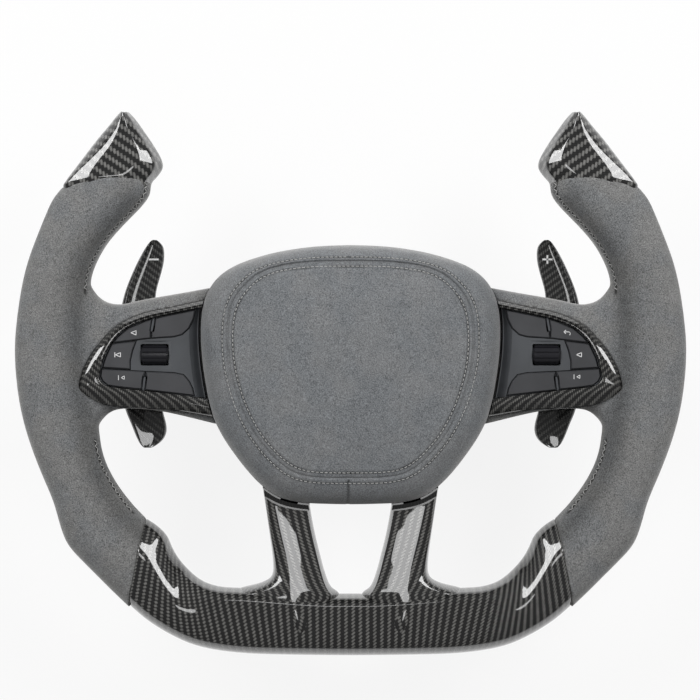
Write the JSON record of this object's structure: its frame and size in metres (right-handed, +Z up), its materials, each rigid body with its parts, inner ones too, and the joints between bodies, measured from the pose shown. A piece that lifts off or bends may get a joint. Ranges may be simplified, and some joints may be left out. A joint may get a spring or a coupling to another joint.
{
  "type": "car steering wheel",
  "caption": "Open-topped sports car steering wheel with suede grips, carbon lower rim and spokes, thumb switch pods, shift paddles and a padded horn and airbag cover.",
  "frame": {"origin": "centre of the steering column bore at the hub's rear face", "axes": "+Y forward along the column bore, away from the driver; +X to the driver's right, along the wheel's width; +Z up"},
  "size_m": [0.3696, 0.092, 0.3004],
  "materials": {
    "suede": "brushed synthetic suede, fine nap",
    "carbon": "twill carbon fibre under clear lacquer",
    "pod_plastic": "satin",
    "button_plastic": "satin",
    "roller_plastic": "satin, ribbed",
    "back_plastic": "fine grain",
    "casting": "as cast",
    "steel": "zinc plated",
    "spring_steel": "bright",
    "circuit": "solder mask",
    "cushion_cloth": "folded cloth",
    "contact_brass": "bright"
  },
  "bodies": {
    "wheel": {"armature": "casting", "hub_boss": "steel", "left_grip": "suede", "right_grip": "suede", "left_tip_cap": "carbon", "right_tip_cap": "carbon", "lower_rim_shell": "carbon", "rear_cover": "back_plastic", "rear_cover_screws": "steel", "bracket_screws": "steel", "horn_springs": "spring_steel", "horn_contact_plate": "contact_brass", "left_pod_bezel": "carbon", "left_switch_housing": "pod_plastic", "left_switch_board": "circuit", "left_roller_axle": "steel", "left_paddle_bracket": "steel", "left_paddle_pin": "steel", "left_paddle_spring": "spring_steel", "right_pod_bezel": "carbon", "right_switch_housing": "pod_plastic", "right_switch_board": "circuit", "right_roller_axle": "steel", "right_paddle_bracket": "steel", "right_paddle_pin": "steel", "right_paddle_spring": "spring_steel"},
    "airbag_module": {"airbag_cover": "suede", "airbag_can": "steel", "airbag_cushion": "cushion_cloth", "inflator": "steel", "guide_pins": "steel"},
    "left_paddle": {"left_paddle": "carbon"},
    "left_upper_outer_button": {"left_upper_outer_button": "button_plastic"},
    "left_upper_inner_button": {"left_upper_inner_button": "button_plastic"},
    "left_middle_button": {"left_middle_button": "button_plastic"},
    "left_lower_outer_button": {"left_lower_outer_button": "button_plastic"},
    "left_lower_inner_button": {"left_lower_inner_button": "button_plastic"},
    "left_roller": {"left_roller": "roller_plastic"},
    "right_paddle": {"right_paddle": "carbon"},
    "right_upper_outer_button": {"right_upper_outer_button": "button_plastic"},
    "right_upper_inner_button": {"right_upper_inner_button": "button_plastic"},
    "right_middle_button": {"right_middle_button": "button_plastic"},
    "right_lower_outer_button": {"right_lower_outer_button": "button_plastic"},
    "right_lower_inner_button": {"right_lower_inner_button": "button_plastic"},
    "right_roller": {"right_roller": "roller_plastic"}
  },
  "joints": [
    {"name": "horn_press", "type": "slide", "parent": "wheel", "child": "airbag_module", "axis": [0, 1, 0], "range_m": [0, 0.0025], "stiffness_N_per_m": 6000, "springref_m": -0.002, "deforming": ["horn_springs"]},
    {"name": "left_paddle_pull", "type": "hinge", "parent": "wheel", "child": "left_paddle", "pos_m": [-0.058, -0.034, 0], "axis": [0, 0, 1], "range_deg": [0, 5], "stiffness_Nm_per_rad": 1.5, "springref_deg": -5.73, "deforming": ["left_paddle_spring"]},
    {"name": "left_upper_outer_button_press", "type": "slide", "parent": "wheel", "child": "left_upper_outer_button", "axis": [0, 1, 0], "range_m": [0, 0.001], "stiffness_N_per_m": 400, "springref_m": -0.001},
    {"name": "left_upper_inner_button_press", "type": "slide", "parent": "wheel", "child": "left_upper_inner_button", "axis": [0, 1, 0], "range_m": [0, 0.001], "stiffness_N_per_m": 400, "springref_m": -0.001},
    {"name": "left_middle_button_press", "type": "slide", "parent": "wheel", "child": "left_middle_button", "axis": [0, 1, 0], "range_m": [0, 0.001], "stiffness_N_per_m": 400, "springref_m": -0.001},
    {"name": "left_lower_outer_button_press", "type": "slide", "parent": "wheel", "child": "left_lower_outer_button", "axis": [0, 1, 0], "range_m": [0, 0.001], "stiffness_N_per_m": 400, "springref_m": -0.001},
    {"name": "left_lower_inner_button_press", "type": "slide", "parent": "wheel", "child": "left_lower_inner_button", "axis": [0, 1, 0], "range_m": [0, 0.001], "stiffness_N_per_m": 400, "springref_m": -0.001},
    {"name": "left_roller_turn", "type": "hinge", "parent": "wheel", "child": "left_roller", "pos_m": [-0.107, -0.066, -0.0015], "axis": [1, 0, 0], "continuous": true},
    {"name": "right_paddle_pull", "type": "hinge", "parent": "wheel", "child": "right_paddle", "pos_m": [0.058, -0.034, 0], "axis": [0, 0, -1], "range_deg": [0, 5], "stiffness_Nm_per_rad": 1.5, "springref_deg": -5.73, "deforming": ["right_paddle_spring"]},
    {"name": "right_upper_outer_button_press", "type": "slide", "parent": "wheel", "child": "right_upper_outer_button", "axis": [0, 1, 0], "range_m": [0, 0.001], "stiffness_N_per_m": 400, "springref_m": -0.001},
    {"name": "right_upper_inner_button_press", "type": "slide", "parent": "wheel", "child": "right_upper_inner_button", "axis": [0, 1, 0], "range_m": [0, 0.001], "stiffness_N_per_m": 400, "springref_m": -0.001},
    {"name": "right_middle_button_press", "type": "slide", "parent": "wheel", "child": "right_middle_button", "axis": [0, 1, 0], "range_m": [0, 0.001], "stiffness_N_per_m": 400, "springref_m": -0.001},
    {"name": "right_lower_outer_button_press", "type": "slide", "parent": "wheel", "child": "right_lower_outer_button", "axis": [0, 1, 0], "range_m": [0, 0.001], "stiffness_N_per_m": 400, "springref_m": -0.001},
    {"name": "right_lower_inner_button_press", "type": "slide", "parent": "wheel", "child": "right_lower_inner_button", "axis": [0, 1, 0], "range_m": [0, 0.001], "stiffness_N_per_m": 400, "springref_m": -0.001},
    {"name": "right_roller_turn", "type": "hinge", "parent": "wheel", "child": "right_roller", "pos_m": [0.107, -0.066, -0.0015], "axis": [1, 0, 0], "continuous": true}
  ]
}
